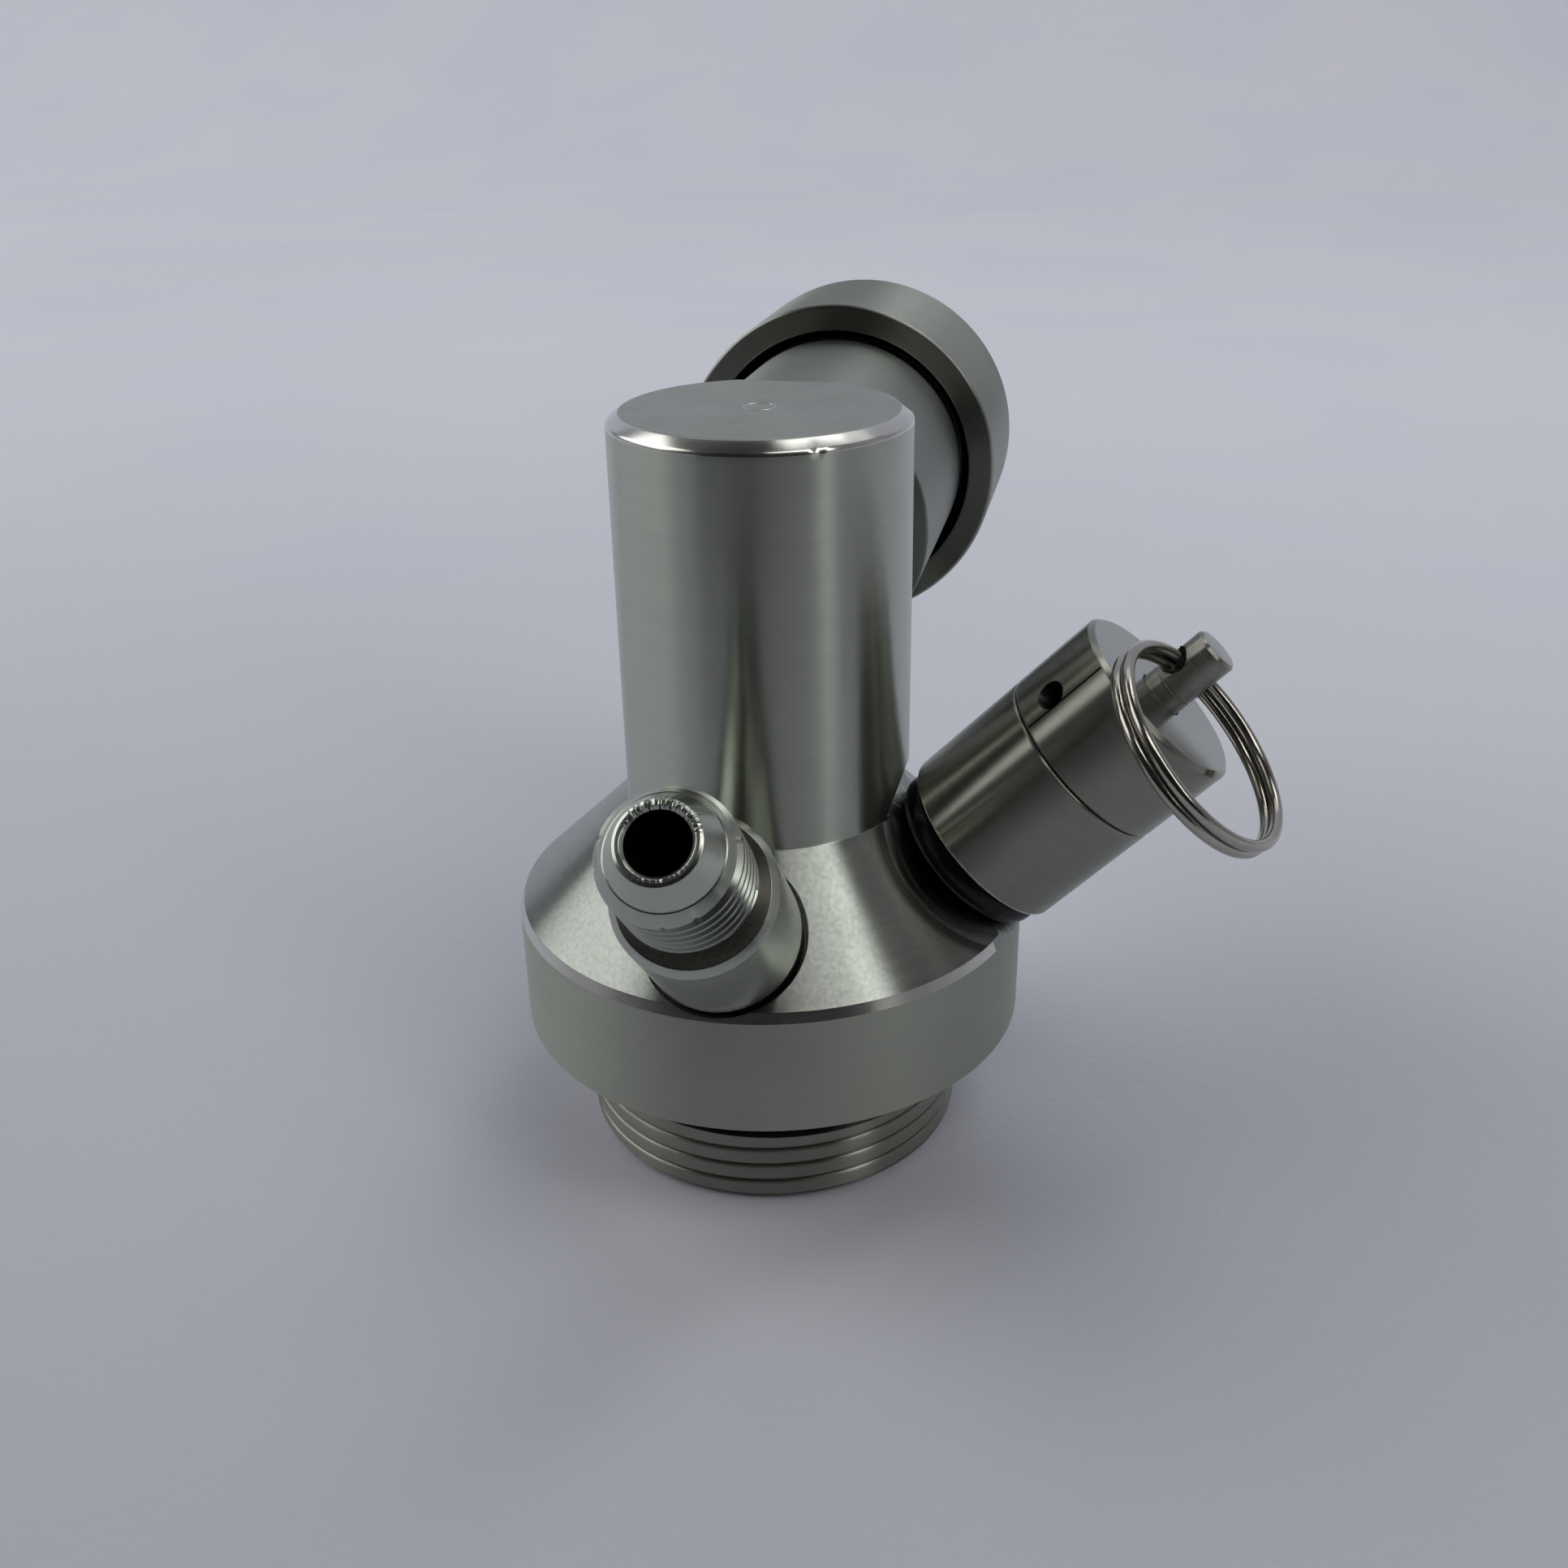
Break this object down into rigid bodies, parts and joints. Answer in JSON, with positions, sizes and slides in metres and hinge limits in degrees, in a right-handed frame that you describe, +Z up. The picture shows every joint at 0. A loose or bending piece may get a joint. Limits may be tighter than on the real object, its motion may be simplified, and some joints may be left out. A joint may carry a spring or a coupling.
{
  "type": "mini keg tap",
  "caption": "Stainless tap head for a mini keg: threaded stub, flared hose outlet, relief valve with pull ring and a side pressure regulator with a round hand knob.",
  "frame": {"origin": "on the head's axis, at the bottom of the keg thread", "axes": "+Z up along the head's axis, -Y towards the flared outlet, +Y along the regulator to its knob, +X towards the relief valve"},
  "size_m": [0.0689, 0.0916, 0.0719],
  "materials": {
    "head_steel": "turned stainless steel, satin",
    "outlet_steel": "turned stainless steel, bright",
    "valve_steel": "turned stainless steel, satin",
    "barrel_steel": "turned stainless steel, fine satin",
    "knob_steel": "turned stainless steel, satin",
    "stem_steel": "turned stainless steel, bright",
    "ring_steel": "polished stainless spring wire",
    "spring_wire": "spring steel wire",
    "brass": "turned brass",
    "black_rubber": "smooth black nitrile rubber",
    "clear_rubber": "translucent silicone rubber"
  },
  "bodies": {
    "housing": {"head_body": "head_steel", "neck_seal_ring": "black_rubber", "dip_tube_seal": "black_rubber", "gas_check_valve": "clear_rubber", "outlet_fitting": "outlet_steel", "outlet_seal_ring": "black_rubber", "relief_housing": "valve_steel", "relief_seal_ring": "black_rubber", "relief_cap": "valve_steel", "relief_spring": "spring_wire", "regulator_barrel": "barrel_steel", "piercing_pin": "stem_steel", "cartridge_seal": "black_rubber", "seat_insert": "brass", "insert_seal_ring": "black_rubber", "inlet_valve_spring": "spring_wire", "range_spring": "spring_wire"},
    "relief_valve": {"relief_stem": "stem_steel", "relief_seal": "black_rubber"},
    "ring": {"pull_ring": "ring_steel"},
    "inlet_valve": {"inlet_valve": "stem_steel"},
    "piston": {"piston": "stem_steel", "piston_seal_ring": "black_rubber"},
    "button": {"spring_button": "stem_steel"},
    "knob": {"regulator_knob": "knob_steel"}
  },
  "joints": [
    {"name": "relief_lift", "type": "slide", "parent": "housing", "child": "relief_valve", "axis": [0.6947, 0, 0.7193], "range_m": [0, 0.0025], "stiffness_N_per_m": 1500, "springref_m": -0.003, "deforming": ["relief_spring"]},
    {"name": "ring_swing", "type": "hinge", "parent": "relief_valve", "child": "ring", "pos_m": [0.03685, 0, 0.04751], "axis": [-0.6841, -0.309, 0.6607], "range_deg": [-19, 217]},
    {"name": "piston_travel", "type": "slide", "parent": "housing", "child": "piston", "axis": [0, -1, 0], "range_m": [0, 0.0008], "stiffness_N_per_m": 800, "springref_m": -0.001, "deforming": ["range_spring"]},
    {"name": "inlet_valve_travel", "type": "slide", "parent": "housing", "child": "inlet_valve", "axis": [0, -1, 0], "range_m": [0, 0.0008], "deforming": ["inlet_valve_spring"]},
    {"name": "knob_turn", "type": "hinge", "parent": "button", "child": "knob", "pos_m": [0, 0.0447, 0.0553], "axis": [0, -1, 0], "range_deg": [0, 720]},
    {"name": "button_travel", "type": "slide", "parent": "housing", "child": "button", "axis": [0, -1, 0], "range_m": [0, 0.003], "deforming": ["range_spring"]}
  ],
  "couplings": [
    {"joint": "inlet_valve_travel", "follows": "piston_travel", "ratio": 1},
    {"joint": "button_travel", "follows": "knob_turn", "m_per_rad": 0.0002387}
  ]
}
